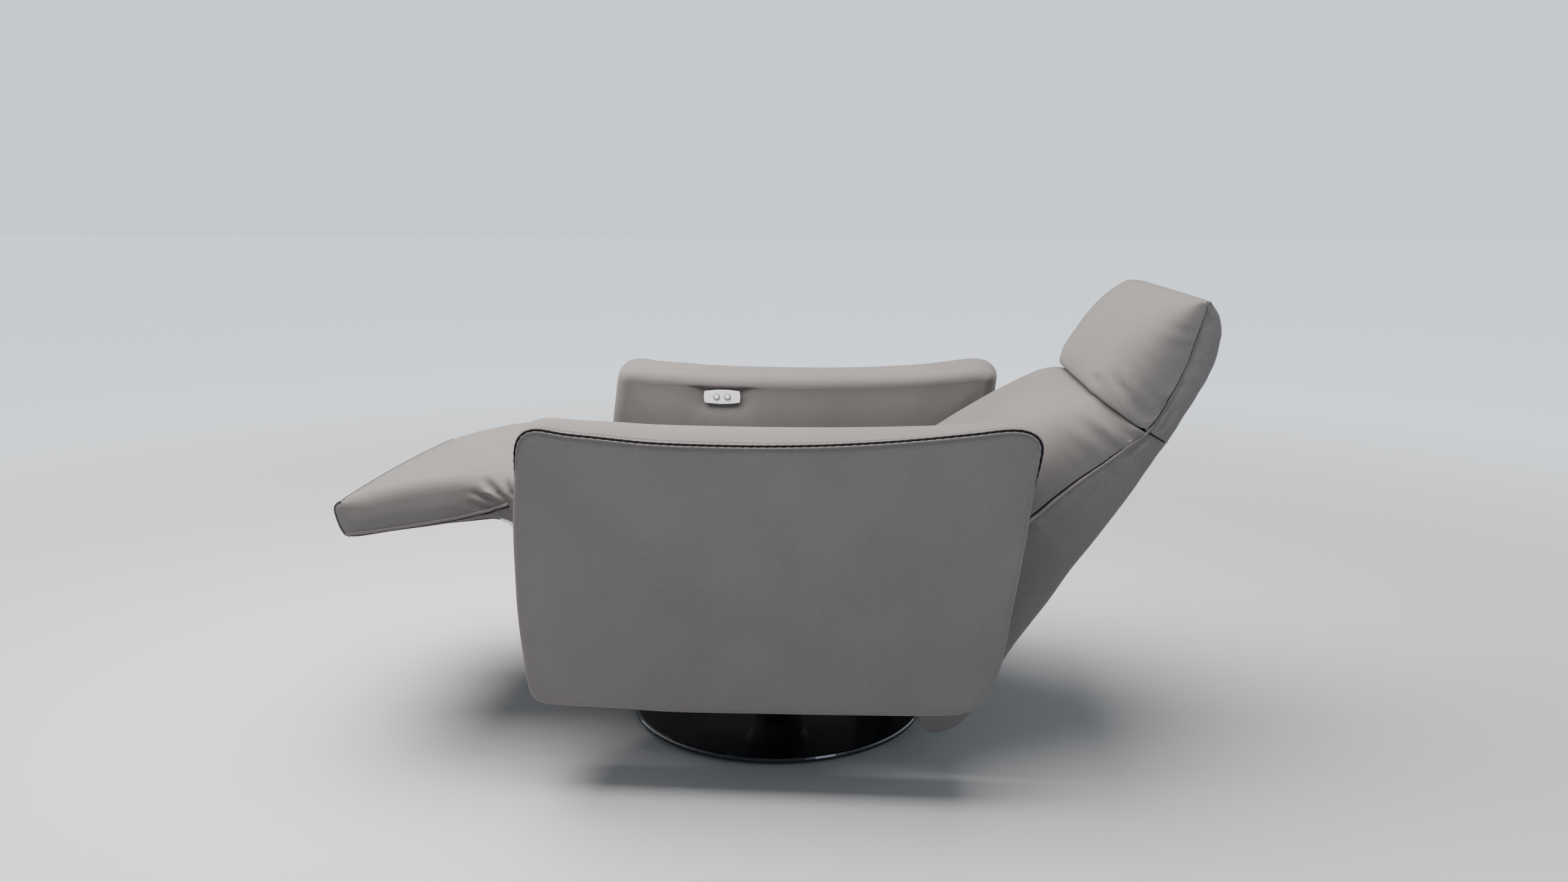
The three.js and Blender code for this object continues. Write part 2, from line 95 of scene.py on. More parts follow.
def add_camera():
    data = bpy.data.cameras.new("camera")
    data.lens = LENS
    data.sensor_width = 36
    camera = add_object("camera", data)
    aim(camera, CAMERA_PLACE, Vector((
        -math.cos(CAMERA_YAW) * math.cos(CAMERA_DIP),
        math.sin(CAMERA_YAW) * math.cos(CAMERA_DIP),
        -math.sin(CAMERA_DIP),
    )))
    bpy.context.scene.camera = camera


def add_light(name, place, target, size, power, tint):
    data = bpy.data.lights.new(name, "AREA")
    data.shape = "RECTANGLE"
    data.size, data.size_y = size
    data.energy = power
    data.color = tint
    light = add_object(name, data)
    aim(light, place, Vector(target) - Vector(place))
    light.visible_camera = False


def map_range(tree, value, span, out_span, kind="LINEAR"):
    node = tree.nodes.new("ShaderNodeMapRange")
    node.interpolation_type = kind
    node.inputs["From Min"].default_value, node.inputs["From Max"].default_value = span
    node.inputs["To Min"].default_value, node.inputs["To Max"].default_value = out_span
    tree.links.new(value, node.inputs["Value"])
    return node.outputs["Result"]


def vector_math(tree, operation, value, other=None):
    node = tree.nodes.new("ShaderNodeVectorMath")
    node.operation = operation
    tree.links.new(value, node.inputs[0])
    if other is not None:
        node.inputs[1].default_value = other
    return node.outputs["Value" if operation == "LENGTH" else "Vector"]


def add_world():
    """A pale studio: bright round the horizon and dimmer overhead."""
    world = bpy.data.worlds.new("studio")
    world.use_nodes = True
    tree = world.node_tree
    background = tree.nodes["Background"]
    place = tree.nodes.new("ShaderNodeTexCoord")
    split = tree.nodes.new("ShaderNodeSeparateXYZ")
    tree.links.new(place.outputs["Generated"], split.inputs["Vector"])
    level = map_range(tree, split.outputs["Z"], SKY_BAND, (SKY_HORIZON, SKY_OVERHEAD), "SMOOTHSTEP")
    tree.links.new(level, background.inputs["Strength"])
    background.inputs["Color"].default_value = (*SKY_TINT, 1)
    bpy.context.scene.world = world


def add_floor():
    """A plain pale floor that fades into the light of the studio away from the object."""
    mesh = bpy.data.meshes.new("floor")
    reach = FLOOR_REACH
    corners = [(-reach, -reach, 0), (reach, -reach, 0), (reach, reach, 0), (-reach, reach, 0)]
    mesh.from_pydata(corners, [], [(0, 1, 2, 3)])
    floor = add_object("floor", mesh)
    paint = bpy.data.materials.new("floor_pale")
    paint.use_nodes = True
    tree = paint.node_tree
    shader = tree.nodes["Principled BSDF"]
    shader.inputs["Base Color"].default_value = (FLOOR_TONE, FLOOR_TONE, FLOOR_TONE, 1)
    shader.inputs["Roughness"].default_value = 0.9
    shader.inputs["Specular IOR Level"].default_value = 0.1
    shader.inputs["Emission Color"].default_value = (*SKY_TINT, 1)
    place = tree.nodes.new("ShaderNodeTexCoord")
    distance = vector_math(tree, "LENGTH", place.outputs["Object"])
    glow = map_range(tree, distance, FLOOR_FADE, (0.0, SKY_HORIZON * 0.95), "SMOOTHSTEP")
    tree.links.new(glow, shader.inputs["Emission Strength"])
    mesh.materials.append(paint)


add_camera()
add_world()
add_floor()
add_light("overhead", (0, -0.35, 2.5), (0, -0.15, 0), (2.4, 2.8), 225, (1.0, 0.94, 0.875))
add_light("front_top", (-0.1, -0.8, 1.75), (-0.05, -0.66, 0.45), (0.8, 0.8), 30, (1.0, 0.95, 0.895))
add_light("rear_side", (2.6, 2.2, 1.5), (0, 0.2, 0.5), (1.2, 1.2), 16, (0.74, 0.82, 1.0))

# ---- materials ----


class Finish:
    """A material under construction: nodes by short name, in the object's own coordinates."""

    def __init__(self, name, colour, roughness, metal=0.0):
        self.material = bpy.data.materials.new(name)
        self.material.use_nodes = True
        self.tree = self.material.node_tree
        self.shader = self.tree.nodes["Principled BSDF"]
        self.shader.inputs["Base Color"].default_value = (*colour, 1)
        self.shader.inputs["Roughness"].default_value = roughness
        self.shader.inputs["Metallic"].default_value = metal
        self.place = self.tree.nodes.new("ShaderNodeTexCoord").outputs["Object"]

    def link(self, a, b):
        self.tree.links.new(a, b)

    def noise(self, scale, detail=3.0, stretch=None):
        node = self.tree.nodes.new("ShaderNodeTexNoise")
        node.inputs["Scale"].default_value = scale
        node.inputs["Detail"].default_value = detail
        place = self.place
        if stretch:
            mapping = self.tree.nodes.new("ShaderNodeMapping")
            mapping.inputs["Scale"].default_value = stretch
            self.link(place, mapping.inputs["Vector"])
            place = mapping.outputs["Vector"]
        self.link(place, node.inputs["Vector"])
        return node.outputs["Fac"]

    def cells(self, scale):
        node = self.tree.nodes.new("ShaderNodeTexVoronoi")
        node.feature = "DISTANCE_TO_EDGE"
        node.inputs["Scale"].default_value = scale
        self.link(self.place, node.inputs["Vector"])
        return node.outputs["Distance"]

    def span(self, value, low, high, out_low, out_high):
        return map_range(self.tree, value, (low, high), (out_low, out_high))

    def sum(self, a, b):
        node = self.tree.nodes.new("ShaderNodeMath")
        node.operation = "ADD"
        self.link(a, node.inputs[0])
        self.link(b, node.inputs[1])
        return node.outputs["Value"]

    def colour(self, value, stops):
        node = self.tree.nodes.new("ShaderNodeValToRGB")
        ramp = node.color_ramp
        while len(ramp.elements) < len(stops):
            ramp.elements.new(0.5)
        for element, (position, colour) in zip(ramp.elements, stops):
            element.position = position
            element.color = (*colour, 1)
        self.link(value, node.inputs["Fac"])
        self.link(node.outputs["Color"], self.shader.inputs["Base Color"])

    def rough(self, value, low, high):
        """Roughness from low to high over the middle of a noise's range."""
        self.link(self.span(value, 0.3, 0.7, low, high), self.shader.inputs["Roughness"])

    def bump(self, value, depth, strength):
        node = self.tree.nodes.new("ShaderNodeBump")
        node.inputs["Distance"].default_value = depth
        node.inputs["Strength"].default_value = strength
        self.link(value, node.inputs["Height"])
        self.link(node.outputs["Normal"], self.shader.inputs["Normal"])

    def set(self, **values):
        for name, value in values.items():
            self.shader.inputs[name.replace("_", " ")].default_value = value


def shade(colour, factor):
    return tuple(min(1.0, c * factor) for c in colour)


def leather_finish(name, colour):
    """Brushed leather: short soft nap, pebbled grain about 1 mm across, and cloudy colour."""
    f = Finish(name, colour, 0.72)
    cloud = f.noise(7, 4)
    nap = f.noise(160, 5, (1, 1, 2.2))
    grain = f.span(f.cells(850), 0.0, 0.22, 0.0, 1.0)
    tone = f.sum(f.span(cloud, 0.3, 0.7, 0.0, 0.38), f.span(nap, 0.3, 0.7, 0.0, 0.44))
    tone = f.sum(tone, f.span(grain, 0.0, 1.0, 0.0, 0.18))
    f.colour(tone, [(0.0, shade(colour, 0.80)), (0.5, colour), (1.0, shade(colour, 1.16))])
    f.rough(nap, 0.64, 0.82)
    height = f.sum(f.span(grain, 0, 1, 0, 0.6), f.span(nap, 0, 1, 0, 0.8))
    f.bump(height, 0.0005, 0.55)
    f.set(Sheen_Weight=0.10, Sheen_Roughness=0.45, Sheen_Tint=(1.0, 0.96, 0.92, 1), Specular_IOR_Level=0.28)
    return f.material


def streaked_finish(name, colour, roughness, metal, scale, stretch=(1, 1, 1), contrast=0.14):
    """Steel, plastic, rubber or thread, with fine streaks or specks in colour, gloss and height."""
    f = Finish(name, colour, roughness, metal)
    streak = f.noise(scale, 4, stretch)
    dark, pale = shade(colour, 1 - contrast), shade(colour, 1 + contrast)
    f.colour(streak, [(0.25, dark), (0.5, colour), (0.75, pale)])
    f.rough(streak, roughness * 0.85, roughness * 1.2)
    f.bump(streak, 0.0002, 0.25)
    return f.material


def plywood_finish():
    colour = (0.52, 0.35, 0.19)
    f = Finish("plywood", colour, 0.7)
    grain = f.noise(28, 6, (0.4, 6, 6))
    f.colour(grain, [(0.3, shade(colour, 0.62)), (0.5, colour), (0.72, shade(colour, 1.3))])
    f.rough(grain, 0.6, 0.85)
    f.bump(grain, 0.0006, 0.4)
    return f.material


def gloss_finish():
    """High-gloss lacquer with a trace of orange peel and fine dust-dulled patches."""
    f = Finish("gloss_black", (0.009, 0.0095, 0.012), 0.12)
    peel = f.noise(60, 2)
    f.rough(f.noise(9), 0.10, 0.2)
    f.colour(peel, [(0.3, (0.007, 0.0075, 0.009)), (0.7, (0.012, 0.013, 0.017))])
    f.bump(peel, 0.0002, 0.12)
    f.set(Coat_Weight=0.6, Coat_Roughness=0.06)
    return f.material


STREAKED = {  # colour, roughness, metal, scale of the streaks, their stretch, and contrast
    "black_steel": ((0.022, 0.023, 0.025), 0.42, 0.35, 500),
    "zinc_steel": ((0.55, 0.56, 0.57), 0.32, 1.0, 90, (1, 6, 6)),
    "black_plastic": ((0.018, 0.018, 0.019), 0.55, 0.0, 700),
    "silver_plate": ((0.93, 0.95, 0.98), 0.30, 0.0, 260, (1, 0.12, 8), 0.02),
    "floor_rubber": ((0.016, 0.016, 0.016), 0.85, 0.0, 300),
    "thread": ((0.0075, 0.007, 0.009), 0.85, 0.0, 1500, (1, 1, 1), 0.3),
}
FINISHES = {name: streaked_finish(name, *look) for name, look in STREAKED.items()}
FINISHES["gloss_black"] = gloss_finish()
FINISHES["plywood"] = plywood_finish()
LEATHER = FINISHES["leather"] = leather_finish("leather", (0.112, 0.105, 0.104))
PIPING = leather_finish("piping", (0.035, 0.034, 0.040))
# the near-black thread finish: real stitches, and also the dark cords of painted shade in the seams and of
# painted shadow under the footrest's side piping
THREAD_AND_PAINTED_SHADE = FINISHES["thread"]
THREAD_AND_PAINTED_SHADE.node_tree.nodes["Principled BSDF"].inputs["Specular IOR Level"].default_value = 0.12
BUTTON_RADIUS = 0.0080


def button_finish(node):
    """A pale satin dome with a darker ring round the rim, drawn from the button's own centre."""
    low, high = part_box(node)
    f = Finish(node, (0.85, 0.88, 0.93), 0.22)
    offset = vector_math(f.tree, "SUBTRACT", f.place, (low + high) / 2)
    radius = vector_math(f.tree, "LENGTH", vector_math(f.tree, "MULTIPLY", offset, (0, 1, 1)))
    f.colour(f.span(radius, 0.0, BUTTON_RADIUS, 0.0, 1.0), [
        (0.0, (0.62, 0.66, 0.68)),
        (0.10, (0.90, 0.93, 0.97)),
        (0.52, (0.86, 0.90, 0.95)),
        (0.66, (0.24, 0.25, 0.27)),
        (0.84, (0.20, 0.21, 0.23)),
    ])
    f.rough(f.noise(900), 0.16, 0.32)
    return f.material


for subpart in frame["record"]["subparts"]:
    node = subpart["node"]
    finish = button_finish(node) if node.startswith("button_") else FINISHES[subpart["material_slot"]]
    mesh = frame["nodes"][node].data
    mesh.materials.clear()
    mesh.materials.append(finish)

# ---- lines and meshes ----


def lengths(vectors):
    return np.linalg.norm(vectors, axis=1)


def travelled(line):
    """The distance along a line at each of its points."""
    steps = lengths(np.diff(line, axis=0))
    return np.concatenate([[0], np.cumsum(steps)])


def closed_up(ring):
    return np.vstack([ring, ring[:1]])


def spread_at(wanted, length, columns):
    """Each column of a table of values along a line, read at the wanted distances."""
    return np.stack([np.interp(wanted, length, column) for column in columns.T], 1)


def resample(line, count):
    """`count` points spread evenly by length along a line."""
    line = np.asarray(line, float)
    length = travelled(line)
    return spread_at(np.linspace(0, length[-1], count), length, line)


SMOOTH_STEPS = 14  # values worked out for each stretch between two given points, its end among them


def smooth(points, count):
    """`count` points, in metres, along a smooth line through points given in millimetres."""
    p = np.array(points, float) * MM
    p = np.vstack([2 * p[0] - p[1], p, 2 * p[-1] - p[-2]])
    fine = []
    for i in range(1, len(p) - 2):
        knots = [0.0]
        for a, b in ((i - 1, i), (i, i + 1), (i + 1, i + 2)):
            knots.append(knots[-1] + max(np.linalg.norm(p[b] - p[a]), 1e-9) ** 0.5)
        t = np.linspace(knots[1], knots[2], SMOOTH_STEPS)[:-1, None]
        t0, t1, t2, t3 = knots
        a1 = (t1 - t) / (t1 - t0) * p[i - 1] + (t - t0) / (t1 - t0) * p[i]
        a2 = (t2 - t) / (t2 - t1) * p[i] + (t - t1) / (t2 - t1) * p[i + 1]
        a3 = (t3 - t) / (t3 - t2) * p[i + 1] + (t - t2) / (t3 - t2) * p[i + 2]
        b1 = (t2 - t) / (t2 - t0) * a1 + (t - t0) / (t2 - t0) * a2
        b2 = (t3 - t) / (t3 - t1) * a2 + (t - t1) / (t3 - t1) * a3
        fine.append((t2 - t) / (t2 - t1) * b1 + (t - t1) / (t2 - t1) * b2)
    fine.append(p[-2][None])
    return resample(np.vstack(fine), count)


def loop(upper, lower):
    """A closed outline from two lines that share both their ends."""
    return np.vstack([upper, lower[-2:0:-1]])


def outward(ring):
    """Unit normals of a closed outline, pointing out of it."""
    step = np.roll(ring, -1, 0) - np.roll(ring, 1, 0)
    normal = np.stack([step[:, 1], -step[:, 0]], 1)
    normal /= lengths(normal)[:, None] + 1e-12
    after = np.roll(ring, -1, 0)
    area = np.sum(ring[:, 0] * after[:, 1] - after[:, 0] * ring[:, 1])
    return normal if area > 0 else -normal


def nearest(points, line):
    """The point of a line nearest to each of the given points."""
    a, b = line[:-1], line[1:]
    d = b - a
    t = np.einsum("ijk,jk->ij", points[:, None] - a[None], d) / (np.sum(d * d, 1) + 1e-12)
    t = np.clip(t, 0, 1)
    found = a[None] + t[..., None] * d[None]
    gap = np.linalg.norm(points[:, None] - found, axis=2)
    return found[np.arange(len(points)), gap.argmin(1)]


def distance_to(points, line):
    return lengths(points - nearest(points, line))


def ease(value):
    value = np.clip(value, 0, 1)
    return value * value * (3 - 2 * value)


def make_object(name, vertices, faces, finish):
    mesh = bpy.data.meshes.new(name)
    mesh.from_pydata([tuple(v) for v in np.asarray(vertices, float)], [], faces)
    mesh.materials.append(finish)
    bm = bmesh.new()
    bm.from_mesh(mesh)
    bmesh.ops.recalc_face_normals(bm, faces=bm.faces)
    bm.to_mesh(mesh)
    bm.free()
    mesh.shade_smooth()
    return add_object(name, mesh)


def ring_faces(stations, around, base=0):
    """Quads between each ring of vertices and the next, for vertices numbered from base."""
    faces = []
    for s in range(stations - 1):
        row = base + s * around
        for i in range(around):
            j = (i + 1) % around
            faces.append((row + i, row + j, row + around + j, row + around + i))
    return faces


def padded_body(rings, columns, panel=None):
    """A closed pad from rings of points, each two lines laid end to end, with both ends panelled.

    rings is (stations, 2 m, 3). The end panels are grids of `columns` between the two lines, and
    panel(points, end) may move the points inside them.
    """
    stations, around, _ = rings.shape
    m = around // 2
    vertices = [rings.reshape(-1, 3)]
    faces = ring_faces(stations, around)
    share = (1 - np.cos(np.pi * np.arange(1, columns) / columns)) / 2
    total = stations * around
    for end, s in enumerate((0, stations - 1)):
        upper = rings[s][1:m]
        lower = rings[s][:m:-1]
        inner = upper[:, None] + (lower - upper)[:, None] * share[None, :, None]
        inner = inner.reshape(-1, 3)
        if panel is not None:
            inner = panel(inner, end)
        base = total
        total += len(inner)
        vertices.append(inner)

        def index(i, k, s=s, base=base):
            if i == 0 or k == 0:
                return s * around + i
            if i == m:
                return s * around + m
            if k == columns:
                return s * around + (2 * m - i) % around
            return base + (i - 1) * (columns - 1) + k - 1

        for i in range(m):
            for k in range(columns):
                corner = [index(i, k), index(i, k + 1), index(i + 1, k + 1), index(i + 1, k)]
                face = list(dict.fromkeys(corner))
                if len(face) > 2:
                    faces.append(tuple(face if end else face[::-1]))
    return np.vstack(vertices), faces


def read_places(mesh):
    places = np.empty(len(mesh.vertices) * 3)
    mesh.vertices.foreach_get("co", places)
    return places.reshape(-1, 3)


def reshape(piece, points):
    piece.data.vertices.foreach_set("co", np.asarray(points, float).ravel())
    piece.data.update()


def push_along_normals(piece, amounts):
    normals = np.array([v.normal for v in piece.data.vertices], float)
    reshape(piece, read_places(piece.data) + normals * amounts[:, None])


CLOTH_FRAMES = 20
CLOTH_SETTINGS = {
    "quality": 5,
    "mass": 0.3,
    "tension_stiffness": 18,
    "compression_stiffness": 18,
    "shear_stiffness": 8,
    "bending_stiffness": 1.5,
    "use_pressure": True,
    "vertex_group_mass": "held",
}


def settle(piece, held, cap, free, pressure=4.0):
    """Blows the pad up as stuffed leather with its seams held, and keeps a share of its movement.

    held is 1 where a point stays, cap is the furthest that a point may move, and free is the share.
    """
    scene = bpy.context.scene
    scene.frame_set(1)
    group = piece.vertex_groups.new(name="held")
    for index, weight in enumerate(held):
        if weight > 0:
            group.add([index], float(weight), "REPLACE")
    start = read_places(piece.data)
    cloth = piece.modifiers.new("settle", "CLOTH")
    for name, value in CLOTH_SETTINGS.items():
        setattr(cloth.settings, name, value)
    cloth.settings.uniform_pressure_force = pressure
    cloth.settings.effector_weights.gravity = 0
    cloth.point_cache.frame_start = 1
    cloth.point_cache.frame_end = CLOTH_FRAMES
    for number in range(1, CLOTH_FRAMES + 1):
        scene.frame_set(number)
    moved = read_places(shaped(piece).data) - start
    piece.modifiers.remove(cloth)
    piece.vertex_groups.remove(group)
    length = lengths(moved)[:, None] + 1e-9
    moved *= np.minimum(1, cap / length)
    reshape(piece, start + moved * free)
    scene.frame_set(1)


def refine(piece):
    subdivision = piece.modifiers.new("subdivision", "SUBSURF")
    subdivision.levels = 1
    subdivision.render_levels = 1


def shaped(piece):
    """The piece as its modifiers leave it."""
    return piece.evaluated_get(bpy.context.evaluated_depsgraph_get())


def surface_of(piece, indices):
    """Positions and normals, on the subdivided piece, of some of its own vertices."""
    bpy.context.view_layer.update()
    vertices = shaped(piece).data.vertices
    place = np.array([vertices[i].co for i in indices], float)
    normal = np.array([vertices[i].normal for i in indices], float)
    return place, normal


def snapped(pad, points):
    """The places on a piece nearest to some points, with normals there."""
    bpy.context.view_layer.update()
    surface = shaped(pad)
    place, normal = [], []
    for point in points:
        _, spot, direction, _ = surface.closest_point_on_mesh(Vector(point))
        place.append(tuple(spot))
        normal.append(tuple(direction))
    return np.array(place), np.array(normal)


# ---- seams, thread, painted shade in the seams, and piping ----


class Line:
    """A path on a surface, with the surface's normals, that tubes and stitches follow."""

    def __init__(self, place, normal, closed=False):
        total = travelled(place)[-1]
        count = max(8, int(total / LINE_STEP))
        both = np.hstack([place, normal])
        if closed:
            both = closed_up(both)
        length = travelled(both[:, :3])
        self.length = length[-1]
        self.closed = closed
        self.at = np.linspace(0, self.length, count + 1)
        self.both = spread_at(self.at, length, both)
        if not closed:
            for k in range(6):
                self.both[1:-1, k] = np.convolve(self.both[:, k], np.ones(3) / 3, "valid")

    def sample(self, distances):
        wanted = np.mod(distances, self.length) if self.closed else np.clip(distances, 0, self.length)
        both = spread_at(wanted, self.at, self.both)
        place, normal = both[:, :3], both[:, 3:]
        normal /= lengths(normal)[:, None] + 1e-9
        return place, normal


class Threads:
    """Collects tubes and stitches into one mesh."""

    def __init__(self):
        self.vertices = []
        self.faces = []

    def tube(self, line, start, end, radius, lift, sides=6, step=0.003, taper=False, arch=0.0, shift=0.0):
        """A tube from start to end along a line, lifted off the surface and shifted to one side.

        radius may be a function of the place from 0 to 1. An arched tube stands up in its middle.
        """
        rings = max(4, int((end - start) / step))
        u = np.linspace(0, 1, rings)
        place, normal = line.sample(start + (end - start) * u)
        if line.closed and abs(end - start - line.length) < 1e-6:
            place[-1] = place[0]
            normal[-1] = normal[0]
        tangent = np.gradient(place, axis=0)
        tangent /= lengths(tangent)[:, None] + 1e-12
        side = np.cross(tangent, normal)
        side /= lengths(side)[:, None] + 1e-12
        up = np.cross(side, tangent)
        size = radius(u) if callable(radius) else np.full(rings, radius)
        if taper:
            size = size * np.sqrt(np.clip(1 - (2 * u - 1) ** 4, 0.02, 1))
        rise = lift + arch * np.sin(np.pi * u)
        centre = place + up * rise[:, None] + side * shift
        angle = 2 * np.pi * np.arange(sides) / sides
        around = np.cos(angle)[None, :, None] * side[:, None] + np.sin(angle)[None, :, None] * up[:, None]
        ring = centre[:, None] + size[:, None, None] * around
        base = sum(len(part) for part in self.vertices)
        self.vertices.append(ring.reshape(-1, 3))
        self.faces += ring_faces(rings, sides, base)
        self.faces.append(tuple(base + k for k in range(sides)))
        last = base + (rings - 1) * sides
        self.faces.append(tuple(last + k for k in reversed(range(sides))))

    def stitches(self, line, lift, radius):
        number = stitch_count(line)
        pitch = line.length / number
        for k in range(number):
            begin = k * pitch
            end = begin + STITCH_LENGTH * pitch / STITCH_PITCH
            self.tube(line, begin, end, radius, lift, step=0.0018, taper=True, arch=0.0007)

    def finish(self, name, material):
        return make_object(name, np.vstack(self.vertices), self.faces, material)


def stitch_count(line):
    return max(1, int(round(line.length / STITCH_PITCH)))


def cord(name, material, line, radius, lift, **shape):
    """One tube along the whole of a line."""
    threads = Threads()
    threads.tube(line, 0, line.length, radius, lift, **shape)
    return threads.finish(name, material)


def sewn(name, line, thick, sunk, stitch):
    """A seam: a dark tube of painted shade in the fold, with long dark stitches pulled over it."""
    threads = Threads()
    # the dark tube along the whole seam is painted shade in the fold
    threads.tube(line, 0, line.length, thick, sunk)
    threads.stitches(line, 0.0013, stitch)
    return threads.finish(name, THREAD_AND_PAINTED_SHADE)


def ridge(name, line, radius):
    """The low ridge that a folded seam allowance makes under the leather."""
    return cord(name, LEATHER, line, radius, -0.0010, sides=8, step=0.004, taper=not line.closed)


def puffs(name, line, shift, sunk, low=0.0012, high=0.0023):
    """The leather puffing up between stitches along one side of a seam."""
    number = stitch_count(line)

    def swell(u):
        return low + (high - low) * np.abs(np.sin(np.pi * (u * number - 0.15))) ** 0.7

    return cord(name, LEATHER, line, swell, sunk, sides=8, step=0.0015, shift=shift)


def ride_leather(piece, body):
    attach(piece, body)


# ---- arms ----

ARM_HALF_COUNT = 112
ARM_COLUMNS = 34
ARM_UPPER = smooth([
    (-379, 380), (-379, 430), (-377, 480), (-373, 525), (-369.5, 560), (-366, 584), (-360, 597),
    (-349, 605), (-336, 608), (-320, 606.5), (-296, 602), (-241, 597), (-161, 590), (-50, 587.5),
    (32, 588), (114, 591), (221, 599), (327, 611), (380, 618), (402, 617), (420, 609), (428, 595),
    (426, 576), (420, 530), (411, 450), (400, 372),
], ARM_HALF_COUNT + 1)
ARM_LOWER = smooth([
    (-379, 380), (-378, 315), (-372, 240), (-366, 192), (-361, 173), (-351, 163), (-336, 159.5),
    (-227, 156), (-139, 153), (7, 155), (160, 158), (285, 162), (325, 167), (352, 185), (372, 218),
    (385, 270), (392, 320), (400, 372),
], ARM_HALF_COUNT + 1)
ARM_RING = loop(ARM_UPPER, ARM_LOWER)
ARM_NORMAL = outward(ARM_RING)
# rise of the top band above the outer seam, as (millimetres in from the seam, share of the crown)
ARM_CROWN_SHAPE = [
    (0, 0), (4, 0.25), (10, 0.48), (20, 0.76), (34, 0.94), (48, 1), (62, 1), (76, 0.96), (88, 0.84),
    (100, 0.62), (112, 0.38), (123, 0.2),
]
ARM_CROWN_LOW = 0.0020  # the band's rise down the front and rear edges
ARM_CROWN_TOP = 0.0030  # what the top adds to that
ARM_CROWN_MIDDLE = 0.0105  # and what the middle of the top adds
ARM_MIDDLE = -0.08
ARM_MIDDLE_REACH = 0.36
ARM_TOP_LOW = 0.500  # the height where the edges begin to turn into the top
ARM_TOP_TURN = 0.078
ARM_INNER_TILT = 0.007  # how much lower the top is at its inner edge, towards the arm's ends
ARM_INNER_TILT_REACH = 0.34
ARM_BAND_END = 123
ARM_INNER_ROUND = 22
ARM_BAND = [26, 35, 46, 58, 70, 80, 89, 96] + [
    ARM_BAND_END - ARM_INNER_ROUND * (1 - math.sin(math.radians(angle))) for angle in range(0, 91, 11)
]
ARM_BAND[-1] = ARM_BAND_END
ARM_BULGE = 0.004
ARM_EDGE_ROUND = 0.010
ARM_SEAM_RING = 5
# rings of the outer edge, as (in from the outer face, out from the outline): on top they crowd up to
# the seam, elsewhere they turn the soft edge that the outer panel wraps, and the seam hides beyond it
ARM_TOP_EDGE = [
    (0.0, -0.0095), (0.0, -0.0065), (0.0002, -0.0040), (0.0006, -0.0022), (0.0012, -0.0008),
    (0.0022, -0.0012), (0.0040, 0.0014), (0.0070, 0.0035),
]
ARM_SIDE_SEAM = [(0.0032, -0.0046), (0.0060, -0.0026), (0.0095, 0.0)]
# the leather drawn in round the control plate, with one crease from the plate's upper rear corner
PLATE_PULL = 0.0085
PLATE_PULL_REACH = 0.017
PLATE_CREASE = 0.0035
PLATE_CREASE_WAY = np.array([0.78, 0.62])
PLATE_CREASE_ACROSS = np.array([-0.62, 0.78])
PLATE_CREASE_LENGTH = 0.045
PLATE_CREASE_WIDTH = 0.004


def arm_top_share():
    """1 along the top of the arm, falling to 0 down its front and rear edges."""
    return ease((ARM_RING[:, 1] - ARM_TOP_LOW) / ARM_TOP_TURN)


def arm_crown():
    """How far the top band stands above the outer seam, at each point of the outline."""
    middle = np.clip(1 - ((ARM_RING[:, 0] - ARM_MIDDLE) / ARM_MIDDLE_REACH) ** 2, 0, 1)
    return ARM_CROWN_LOW + arm_top_share() * (ARM_CROWN_TOP + ARM_CROWN_MIDDLE * middle)


def arm_edge_rings():
    top = arm_top_share()[:, None]
    turned = []
    for angle in np.radians([0, 22, 45, 68, 90]):
        turned.append((ARM_EDGE_ROUND * (1 - math.cos(angle)), -ARM_EDGE_ROUND * (1 - math.sin(angle))))
    turned += [(ARM_EDGE_ROUND + inward, over) for inward, over in ARM_SIDE_SEAM]
    rings = []
    for edge, over in zip(turned, ARM_TOP_EDGE):
        both = np.array(edge) * (1 - top) + np.array(over) * top
        place = ARM_RING + ARM_NORMAL * both[:, 1:]
        rings.append(np.column_stack([ARM_OUTER - both[:, 0], place]))
    return rings


def arm_station(inward, crown):
    """Points of one ring of the arm's band, `inward` millimetres in from the outer seam."""
    height = crown * np.interp(inward, *zip(*ARM_CROWN_SHAPE))
    towards_end = np.clip((ARM_RING[:, 0] / ARM_INNER_TILT_REACH) ** 2, 0, 1)
    height = height - ARM_INNER_TILT * ease((inward - 35) / 70) * arm_top_share() * towards_end
    over = max(0.0, inward - (ARM_BAND_END - ARM_INNER_ROUND))
    height = height - (ARM_INNER_ROUND - math.sqrt(max(0.0, ARM_INNER_ROUND ** 2 - over ** 2))) * MM
    place = ARM_RING + ARM_NORMAL * height[:, None]
    return np.column_stack([np.full(len(place), ARM_OUTER - inward * MM), place])


def plate_pull(points):
    """How far the leather is drawn in round the control plate, from its (y, z) place."""
    low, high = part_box("control_plate")
    centre = np.array([(low.y + high.y) / 2, (low.z + high.z) / 2])
    reach = np.array([(high.y - low.y) / 2, (high.z - low.z) / 2])
    gap = lengths(np.maximum(np.abs(points - centre) - reach, 0))
    pull = PLATE_PULL * np.exp(-((gap / PLATE_PULL_REACH) ** 1.3))
    corner = centre + reach
    along = (points - corner) @ PLATE_CREASE_WAY
    across = (points - corner) @ PLATE_CREASE_ACROSS
    crease = np.exp(-((across / PLATE_CREASE_WIDTH) ** 2)) * ease(along / 0.006 + 1)
    return pull + PLATE_CREASE * (crease * ease(1 - along / PLATE_CREASE_LENGTH))


